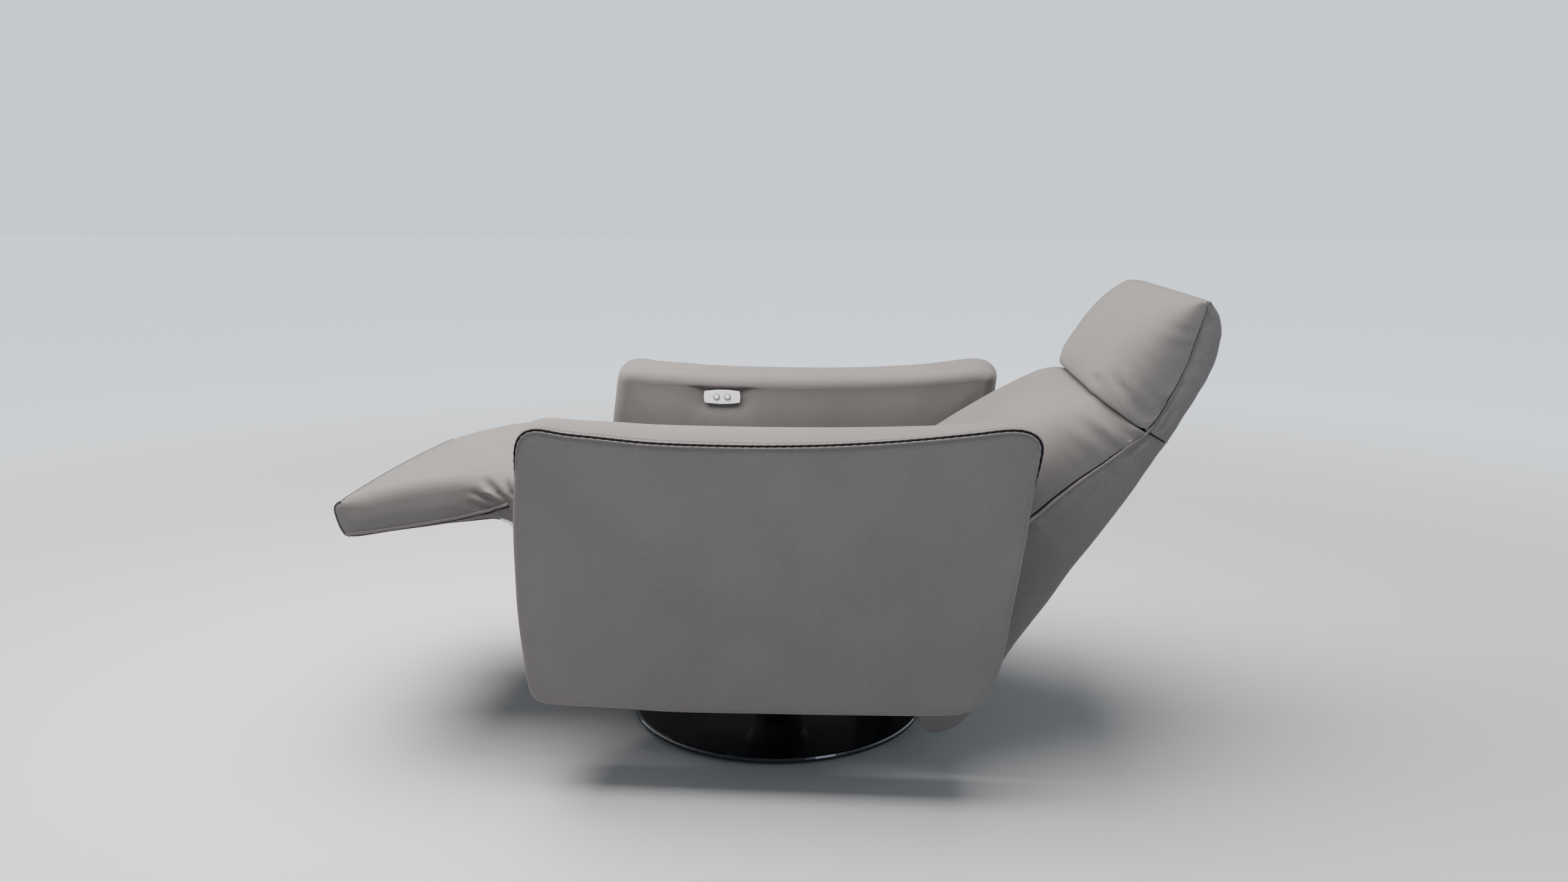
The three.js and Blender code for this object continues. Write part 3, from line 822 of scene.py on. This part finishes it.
def make_arm(side, sign):
    crown = arm_crown()
    rings = np.array(arm_edge_rings() + [arm_station(d, crown) for d in ARM_BAND])

    def panel(points, end):
        """Both panels bulge a little, and the plate draws in the right arm's inner one."""
        flat = points[:, 1:]
        edge = distance_to(flat, closed_up(rings[-1 if end else 0][:, 1:]))
        points = points.copy()
        if end == 0:
            points[:, 0] += 0.0010 * (1 - np.exp(-edge / 0.012)) + ARM_BULGE * ease(edge / 0.2)
        else:
            bulge = ARM_BULGE * ease(edge / 0.12)
            if side == "right":
                bulge = bulge + 0.003 * ease(edge / 0.06) - plate_pull(flat)
            points[:, 0] -= bulge
        return points

    vertices, faces = padded_body(rings, ARM_COLUMNS, panel)
    vertices[:, 0] *= sign
    arm = make_object(f"arm_cover_{side}", vertices, faces, LEATHER)
    around = rings.shape[1]
    seam_ring = range(ARM_SEAM_RING * around, (ARM_SEAM_RING + 1) * around)
    ridge_ring = range((ARM_SEAM_RING + 2) * around, (ARM_SEAM_RING + 3) * around)
    # the seam is held fast, the bottom nearly so, and both faces less
    wide = np.abs(vertices[:, 0])
    held = np.zeros(len(vertices))
    held[seam_ring] = 1
    held[wide < ARM_INNER + 0.012] = 0.75
    held[vertices[:, 2] < 0.18] = 0.9
    outer = wide > ARM_OUTER - 0.0015
    held[outer] = np.maximum(held[outer], 0.7)
    settle(arm, held, cap=0.006, free=0.9, pressure=3.0)
    refine(arm)
    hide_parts(f"arm_pad_{side}")
    ride_leather(arm, "frame")

    seam = Line(*surface_of(arm, seam_ring), closed=True)
    # real stitches over a dark tube of painted shade in the seam's fold
    ride_leather(sewn(f"arm_stitching_and_seam_shade_{side}", seam, 0.0021, 0.0006, 0.0013), "frame")
    ride_leather(puffs(f"arm_puffs_{side}", seam, shift=0.0030 * sign, sunk=-0.0014), "frame")
    ridge_line = Line(*surface_of(arm, ridge_ring), closed=True)
    ride_leather(ridge(f"arm_ridge_{side}", ridge_line, 0.0016), "frame")


for side, sign in (("left", 1), ("right", -1)):
    make_arm(side, sign)

# ---- pads with a rolled edge: lumbar cushion and headrest ----

ROLL_TURNS = 9
ROLL_FLAT_STEP = 0.0125
ROLL_ROWS = 64
SEAM_POINTS = 80
PAD_SEAM_HELD = 0.012


def roll_stations(roll, fullness):
    """X of each ring, and how much of the full height the pad has there."""
    angle = np.linspace(math.pi / 2, 0.0, ROLL_TURNS + 1)[:-1]
    edge = HALF - roll + roll * np.sin(angle)
    height = np.cos(angle) ** fullness
    flat_half = HALF - roll
    flat = np.linspace(-flat_half, flat_half, int(2 * flat_half / ROLL_FLAT_STEP) + 1)
    x = np.concatenate([-edge, flat, edge[::-1]])
    h = np.concatenate([height, np.ones(len(flat)), height[::-1]])
    return x, np.maximum(h, 0.0)


def rolled_pad(front, seam_line, roll, crown, fullness):
    """Rings of a pad whose front falls in a soft roll to a seam on each side.

    front is its outline in the side plane, in the order of going over the pad, in millimetres.
    """
    chain = smooth(front, ROLL_ROWS + 1)
    foot = nearest(chain, seam_line)
    middle = (chain[0] + chain[-1]) / 2
    back = smooth([tuple(place / MM) for place in (chain[0], middle, chain[-1])], ROLL_ROWS + 1)
    seam_back = nearest(back, seam_line)
    rings = []
    for place, h in zip(*roll_stations(roll, fullness)):
        full = h + crown * max(0.0, 1 - (place / (HALF - roll * 0.4)) ** 2)
        upper = foot + (chain - foot) * full
        lower = seam_back + (back - seam_back) * min(h, 1.0)
        upper[0] = lower[0] = (upper[0] + lower[0]) / 2
        upper[-1] = lower[-1] = (upper[-1] + lower[-1]) / 2
        ring = loop(upper, lower)
        rings.append(np.column_stack([np.full(len(ring), place), ring]))
    return np.array(rings)


BACK_SEAM = [
    (686, 794), (681, 772), (670, 734), (659, 696), (640, 654), (624, 621), (606, 594), (595, 584),
    (577, 571.5), (541, 543), (504, 516), (467, 485), (441, 461), (370, 400), (300, 343), (262, 312),
]
LUMBAR_FRONT = [
    (602, 596), (586, 609), (568, 621), (552, 628), (530, 632), (500, 627), (455, 606), (411, 582),
    (350, 545), (289, 505), (240, 476), (203, 452), (180, 434), (167, 418), (164, 402), (176, 388),
    (205, 370), (235, 352),
]
HEADREST_FRONT = [
    (606, 595), (588, 610), (566, 623), (546, 632), (535, 643), (541, 670), (561, 705), (588, 744),
    (613, 771), (640, 791), (665, 801), (690, 799),
]


def place_along(found, line):
    """The distance along a line of places on it, for a line that never turns back in y."""
    order = np.argsort(line[:, 0])
    return np.interp(found[:, 0], line[:, 0][order], travelled(line)[order])


def seam_puckers(points, line, amplitude, period, reach, seed):
    """Small folds that run away from a side seam and die out, as a push along the normals."""
    rng = np.random.default_rng(seed)
    found = nearest(points[:, 1:], line)
    gap = lengths(points[:, 1:] - found)
    inset = HALF - np.abs(points[:, 0])
    away = np.hypot(gap, np.maximum(inset, 0))
    along = place_along(found, line)
    waves = np.zeros(len(points))
    for k in range(4):
        waves += np.sin(2 * np.pi * along / (period * (0.7 + 0.22 * k)) + rng.uniform(0, 6.28))
    waves /= 4
    fade = np.exp(-away / reach) * ease(away / 0.006)
    return amplitude * waves * fade


def over_surface(points, line, roll):
    """Each point's distance in from the side seam, over the roll, and its place along the seam."""
    width = np.abs(points[:, 0])
    turn = np.arcsin(np.clip((width - (HALF - roll)) / roll, 0, 1))
    inward = roll * (math.pi / 2 - turn) + np.maximum(HALF - roll - width, 0)
    return np.column_stack([inward, place_along(nearest(points[:, 1:], line), line)])


def soft_folds(places, folds):
    """Grooves with a low ridge on each side; a fold is (start, end, width, depth) in millimetres."""
    total = np.zeros(len(places))
    for start, end, width, depth in folds:
        a = np.array(start, float) * MM
        d = np.array(end, float) * MM - a
        length = np.linalg.norm(d)
        d /= length
        along = (places - a) @ d / length
        across = lengths(places - a - (along * length)[:, None] * d) / (width * MM)
        groove = np.exp(-(across ** 2)) - 0.45 * np.exp(-((across - 1.9) ** 2))
        total -= depth * MM * groove * ease(along / 0.2 + 0.6) * ease((1 - along) / 0.55)
    return total


def calmer_right(points):
    """The folds are weaker on the sitter's right."""
    return 0.4 + 0.6 * ease(points[:, 0] / 0.2 + 0.5)


# folds as (start, end, width, depth): distance in from the side seam, and along it from the upper end
LUMBAR_FOLDS = [
    ((6, 12), (120, 26), 9, 6.5), ((8, 40), (105, 62), 9, 4.5), ((14, 78), (90, 104), 10, 2.6),
    ((118, -8), (168, 10), 15, -5.5),
]
HEADREST_FOLDS = [
    ((6, 202), (105, 150), 9, 5.5), ((8, 178), (92, 118), 9, 4.2), ((12, 150), (70, 96), 9, 2.4),
    ((120, 205), (170, 190), 15, 3.0),
]


def make_pad(name, body, front, seam, roll, crown, fullness, puckers, folds):
    """A cushion held at its side seams; puckers are (amplitude, period, reach, seed)."""
    seam_line = smooth(seam, SEAM_POINTS)
    vertices, faces = padded_body(rolled_pad(front, seam_line, roll, crown, fullness), 2)
    pad = make_object(f"{name}_cover", vertices, faces, LEATHER)
    held = np.zeros(len(vertices))
    held[distance_to(vertices[:, 1:], seam_line) < PAD_SEAM_HELD] = 1
    settle(pad, held, cap=0.010, free=0.6)
    points = read_places(pad.data)
    push = seam_puckers(points, seam_line, *puckers)
    push += soft_folds(over_surface(points, seam_line, roll), folds)
    push_along_normals(pad, push * calmer_right(points))
    refine(pad)
    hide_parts(f"{name}_cushion")
    ride_leather(pad, body)


make_pad("lumbar", "back", LUMBAR_FRONT, BACK_SEAM[6:], roll=0.082, crown=0.05, fullness=0.92,
         puckers=(0.0035, 0.034, 0.028, 3), folds=LUMBAR_FOLDS)
make_pad("headrest", "headrest", HEADREST_FRONT, BACK_SEAM[:7], roll=0.090, crown=0.04, fullness=0.72,
         puckers=(0.003, 0.030, 0.025, 8), folds=HEADREST_FOLDS)

# ---- cover of the back: side boxing, rear and rounded lower end ----

BACK_ROWS = 112
BACK_FRONT_LINE = [
    (684, 806), (685, 793), (681, 772), (670, 734), (659, 696), (640, 654), (624, 621), (606, 594),
    (595, 584), (577, 571.5), (541, 543), (504, 516), (467, 485), (441, 461), (370, 400), (300, 343),
    (276, 305), (263, 240), (259, 180), (257, 116), (263, 85), (288, 69),
]
BACK_REAR_LINE = [
    (684, 806), (696, 794), (706, 781), (711.5, 764), (713, 749), (711.5, 735), (706, 706), (695, 677),
    (680, 648), (656, 604), (639, 574.5), (620, 545), (592, 499), (562, 453), (531, 407), (498, 360),
    (468, 311), (441, 271), (408, 221), (374, 158), (343, 103), (326, 84), (309, 74), (288, 69),
]
BACK_CORNER = 0.011
BOXING_STEPS = 12
CORNER_STEPS = 5
REAR_STEPS = 40
FRONT_STEPS = 30
# a row's point on the sitter's right seam, where its point 0 is on the left seam
FAR_SEAM = 2 * (BOXING_STEPS + CORNER_STEPS) + REAR_STEPS
BOXING_BULGE = 0.0045
SEAM_PINCH = 0.0012
REAR_STUFFING = 0.004
REAR_CROWN = 0.007
FRONT_SINK = 0.006
BACK_SEWN_ROWS = range(0, 84)
# folds in the boxing by its cross seam, as (start, end, width, depth) with (y, z) places
BOXING_FOLDS = [
    ((616, 604), (640, 645), 5, 3.2), ((628, 596), (652, 640), 5, 2.6), ((600, 580), (560, 540), 6, 2.0),
]


def bend_with_head(piece):
    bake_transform(piece)


def back_row(front, rear):
    """One row round the back: left boxing and corner, rear, right corner and boxing, and front."""
    depth = np.linalg.norm(rear - front)
    toward = (rear - front) / (depth + 1e-9)
    corner = min(BACK_CORNER, depth * 0.45)
    left = []
    for k in range(BOXING_STEPS + 1):
        u = k / BOXING_STEPS
        bulge = BOXING_BULGE * math.sin(math.pi * u) ** 0.6 * min(1, depth / 0.06)
        pinch = -SEAM_PINCH if k == 0 else 0.0
        left.append((HALF + bulge + pinch, *(front + toward * (depth - corner) * u)))
    for k in range(1, CORNER_STEPS + 1):
        a = math.pi / 2 * k / CORNER_STEPS
        x = HALF - corner * (1 - math.cos(a))
        left.append((x, *(front + toward * (depth - corner + corner * math.sin(a)))))
    edge = HALF - corner
    middle = []
    for k in range(1, REAR_STEPS):
        x = edge - 2 * edge * k / REAR_STEPS
        crown = REAR_CROWN * (1 - (x / edge) ** 2) * min(1, depth / 0.08)
        middle.append((x, *(rear + toward * crown)))
    right = [(-x, y, z) for x, y, z in reversed(left)]
    across = []
    for k in range(1, FRONT_STEPS):
        x = -HALF + 2 * HALF * k / FRONT_STEPS
        sink = min(FRONT_SINK, depth * 0.3) * ease(min(HALF - abs(x), 0.03) / 0.03)
        across.append((x, *(front + toward * sink)))
    return left + middle + right + across


def ladder(faces, first, second):
    """Fills between two lines of vertices that start beside each other and run the same way."""
    a, b = 0, 0
    while a < len(first) - 1 or b < len(second) - 1:
        ahead = (a + 1) / len(first) <= (b + 1) / len(second)
        if b >= len(second) - 1 or (ahead and a < len(first) - 1):
            faces.append((first[a], first[a + 1], second[b]))
            a += 1
        else:
            faces.append((first[a], second[b + 1], second[b]))
            b += 1


def back_cover_mesh():
    """The rows laid from the top of the back to its lower end, with both ends closed."""
    front = smooth(BACK_FRONT_LINE, BACK_ROWS + 1)
    rear = smooth(BACK_REAR_LINE, BACK_ROWS + 1)
    rear[1:-1] += outward(loop(front, rear))[:BACK_ROWS:-1] * REAR_STUFFING
    rows = np.array([back_row(front[i], rear[i]) for i in range(1, BACK_ROWS)])
    stations, around, _ = rows.shape
    faces = ring_faces(stations, around)
    # the ends close as strips across the width: the outer side of each against its inner side
    half = BOXING_STEPS // 2
    for s in (0, stations - 1):
        row = s * around
        first = [row + k for k in range(half, FAR_SEAM + 2 - half)]
        second = [row + (half - 1 - k) % around for k in range(around - len(first))]
        ladder(faces, first, second)
    return rows.reshape(-1, 3), faces, around


def add_cross_seam_shade(cover):
    """A dark cord of painted shade along the seam between the upper and lower boxing, round both sides and
    across the rear.
    """
    side = resample([(0.608, 0.5925), (0.640, 0.5735)], 12)
    across = np.linspace(HALF - 0.010, -HALF + 0.010, 50)
    wide = HALF + 0.006
    path = [(wide, *p) for p in side]
    path += [(x, 0.655, 0.565) for x in across]
    path += [(-wide, *p) for p in side[::-1]]
    line = Line(*snapped(cover, path))
    # no stitches here: the dark cord is painted shade in the seam's crease
    bend_with_head(cord("back_cross_seam_shade", THREAD_AND_PAINTED_SHADE, line, 0.0014, -0.0002))


def make_back_cover():
    vertices, faces, around = back_cover_mesh()
    cover = make_object("back_cover", vertices, faces, LEATHER)
    # both seams are held, and the front, which lies under the pads
    index = np.arange(len(vertices)) % around
    held = np.where((index == 0) | (index >= FAR_SEAM), 1.0, 0.0)
    settle(cover, held, cap=0.007, free=0.7, pressure=3.0)
    points = read_places(cover.data)
    push = seam_puckers(points, smooth(BACK_SEAM, SEAM_POINTS), 0.0028, 0.036, 0.03, 5)
    sides = ease((np.abs(points[:, 0]) - 0.255) / 0.008)
    push += soft_folds(points[:, 1:], BOXING_FOLDS) * sides
    push_along_normals(cover, push)
    refine(cover)
    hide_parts("back_shell")
    for label, column, sign in (("left", 0, 1), ("right", FAR_SEAM, -1)):
        place, normal = surface_of(cover, [s * around + column for s in BACK_SEWN_ROWS])
        line = Line(place, normal * 0.5 + np.array([sign * 0.85, -0.25, 0.25]))
        # real stitches over a dark tube of painted shade in the seam's fold
        bend_with_head(sewn(f"back_stitching_and_seam_shade_{label}", line, 0.0020, 0.0006, 0.0021))
        line = Line(*surface_of(cover, [s * around + column + sign for s in BACK_SEWN_ROWS]))
        bend_with_head(ridge(f"back_ridge_{label}", line, 0.0026))
    add_cross_seam_shade(cover)
    bend_with_head(cover)


make_back_cover()

# ---- seat and footrest, under one cover that bends at the knee ----

SEAT_ROWS = 124
SEAT_UPPER = smooth([
    (-729, 430), (-730.5, 441), (-726.5, 449), (-714, 455), (-646, 476.5), (-560, 494.5), (-500, 500),
    (-450, 500), (-410, 500), (-371, 497), (-260, 476), (-100, 442), (0, 425), (50, 415), (76, 404),
    (88, 386), (91, 350),
], SEAT_ROWS + 1)
SEAT_LOWER = smooth([
    (-729, 430), (-724, 412), (-717, 396), (-711, 390.5), (-702, 389), (-690, 390), (-629, 401),
    (-565, 411), (-500, 422), (-455, 428), (-430, 424), (-408, 410), (-380, 398), (-300, 381),
    (-100, 340), (40, 312), (76, 306), (90, 320), (91, 350),
], SEAT_ROWS + 1)
SEAT_TOP_ROUND = 0.026
SEAT_LOW_ROUND = 0.010
SEAT_TURNS = np.radians([90, 76, 62, 48, 34, 20, 8])
SEAT_COLUMNS = 10
SEAT_STATIONS = 37
SEAT_CROWN = 0.005
SEAT_BULGE = 0.004
# gathers at each side of the knee, as (start, end, width, depth) with (y, z) places
KNEE_FOLDS = [
    ((-424, 458), (-482, 503), 4.5, 8.5), ((-430, 452), (-500, 478), 4.5, 7.5),
    ((-416, 468), (-452, 512), 4.5, 7), ((-440, 446), (-512, 458), 5, 5), ((-404, 474), (-420, 512), 5, 5),
]
# the footrest's lower side seam and the piping round its tip, in the side plane
FOOTREST_SIDE_LINE = [
    (-712, 393), (-699, 396), (-665, 400), (-629, 406), (-565, 418), (-500, 432), (-458, 444), (-425, 455),
]
FOOTREST_TIP_LINE = [(-717, 454), (-726, 448), (-729.5, 440), (-728, 428), (-722, 410), (-710, 392)]


def bend_with_knee(piece):
    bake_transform(piece)


def knee_folds(points):
    """Folds that fan up from the lower seam at each side of the knee."""
    near_side = ease((np.abs(points[:, 0]) - 0.205) / 0.05)
    return soft_folds(points[:, 1:], KNEE_FOLDS) * near_side * 0.9 * calmer_right(points)


def seat_rings(ring):
    """The outline across the chair, rounded at both sides and slightly crowned on top.

    The rounding shrinks towards the footrest's tip.
    """
    normal = outward(ring)
    upper_part = np.zeros(len(ring))
    upper_part[:SEAT_ROWS + 1] = 1
    for _ in range(6):
        upper_part = (np.roll(upper_part, 1) + upper_part + np.roll(upper_part, -1)) / 3
    towards_tip = ease((ring[:, 0] + 0.735) / 0.07)
    corner = SEAT_LOW_ROUND + (SEAT_TOP_ROUND - SEAT_LOW_ROUND) * upper_part * towards_tip

    def turned(angle, sign):
        x = sign * (HALF - corner * (1 - math.sin(angle)))
        return np.column_stack([x, ring - normal * (corner * (1 - math.cos(angle)))[:, None]])

    rings = [turned(angle, -1) for angle in SEAT_TURNS]
    for f in np.linspace(-1, 1, SEAT_STATIONS)[1:-1]:
        crown = SEAT_CROWN * upper_part * (1 - f * f)
        rings.append(np.column_stack([(HALF - corner) * f, ring + normal * crown[:, None]]))
    rings += [turned(angle, 1) for angle in SEAT_TURNS[::-1]]
    return np.array(rings)


def make_seat():
    ring = loop(SEAT_UPPER, SEAT_LOWER)
    rings = seat_rings(ring)

    def panel(points, end):
        edge = distance_to(points[:, 1:], closed_up(rings[0][:, 1:]))
        points = points.copy()
        points[:, 0] += (1 if end else -1) * SEAT_BULGE * ease(edge / 0.03)
        return points

    vertices, faces = padded_body(rings, SEAT_COLUMNS, panel)
    pad = make_object("seat_cover", vertices, faces, LEATHER)
    held = np.zeros(len(vertices))
    held[distance_to(vertices[:, 1:], SEAT_LOWER) < 0.010] = 1
    held[distance_to(vertices[:, 1:], ring[:2]) < 0.02] = 1
    settle(pad, held, cap=0.008, free=0.6, pressure=3.0)
    push_along_normals(pad, knee_folds(read_places(pad.data)))
    refine(pad)
    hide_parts("seat_cushion", "footrest_cushion")
    make_footrest_piping(pad)
    bend_with_knee(pad)


def make_footrest_piping(pad):
    side_line = smooth(FOOTREST_SIDE_LINE, 60)
    tip_line = smooth(FOOTREST_TIP_LINE, 30)
    for label, sign in (("left", 1), ("right", -1)):
        wide = np.full(len(side_line), sign * (HALF + 0.004))
        seam = Line(*snapped(pad, np.column_stack([wide, side_line])))
        name = f"footrest_piping_side_{label}"
        bend_with_knee(cord(name, LEATHER, seam, 0.0030, 0.0002, sides=10))
        # a thin dark cord beside the leather piping: painted shadow under its ridge
        name = f"footrest_piping_shadow_side_{label}"
        bend_with_knee(cord(name, THREAD_AND_PAINTED_SHADE, seam, 0.0016, 0.0, shift=0.0032 * sign))
        wide = np.full(len(tip_line), sign * (HALF - 0.003))
        seam = Line(*snapped(pad, np.column_stack([wide, tip_line])))
        tip = cord(f"footrest_piping_tip_{label}", PIPING, seam, 0.0022, 0.0004, sides=8)
        ride_leather(tip, "footrest")
    across = np.linspace(-HALF + 0.006, HALF - 0.006, 60)
    for part, y, z in (("top", -0.715, 0.459), ("bottom", -0.709, 0.388)):
        seam = Line(*snapped(pad, [(x, y, z) for x in across]))
        piping = cord(f"footrest_piping_{part}", PIPING, seam, 0.0015, 0.0, sides=8)
        ride_leather(piping, "footrest")


make_seat()

# ---- folds of leather that close the gaps behind the seat and under the headrest ----

FOLD_ROLL = 0.086
FOLD_COUNT = 33
FOLD_STATIONS = 41


def fold(name, points, thick, foot=None):
    """A strip of padded leather across the chair, from its line in the side plane.

    With a foot, it falls towards that place at each side, as the pads over it do in their rolled edges.
    """
    half = HALF - 0.004
    line = smooth(points, FOLD_COUNT)
    step = np.gradient(line, axis=0)
    step /= lengths(step)[:, None]
    across = np.stack([-step[:, 1], step[:, 0]], 1)
    taper = np.sqrt(np.clip(1 - np.linspace(-1, 1, FOLD_COUNT) ** 6, 0, 1))[:, None]
    section = loop(line + across * thick / 2 * taper, line - across * thick / 2 * taper)
    rings = []
    for x in np.linspace(-half, half, FOLD_STATIONS):
        ring = section
        if foot is not None:
            over = min(1.0, max(0.0, abs(x) - (HALF - FOLD_ROLL)) / FOLD_ROLL)
            ring = np.array(foot) + (ring - np.array(foot)) * math.sqrt(1 - over ** 2)
        ripple = 0.0006 * math.sin(x * 61) + 0.0004 * math.sin(x * 149 + 1)
        rings.append(np.column_stack([np.full(len(ring), x), ring[:, 0], ring[:, 1] + ripple]))
    vertices, faces = padded_body(np.array(rings), 2)
    piece = make_object(name, vertices, faces, LEATHER)
    refine(piece)
    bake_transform(piece)


fold("seat_back_fold", [(52, 398), (78, 392), (100, 377), (122, 366), (146, 366), (168, 378), (196, 392)],
     0.008)
fold("headrest_fold", [(540, 612), (562, 613), (584, 608), (599, 601), (592, 618), (572, 638), (562, 660)],
     0.005, (0.610, 0.600))
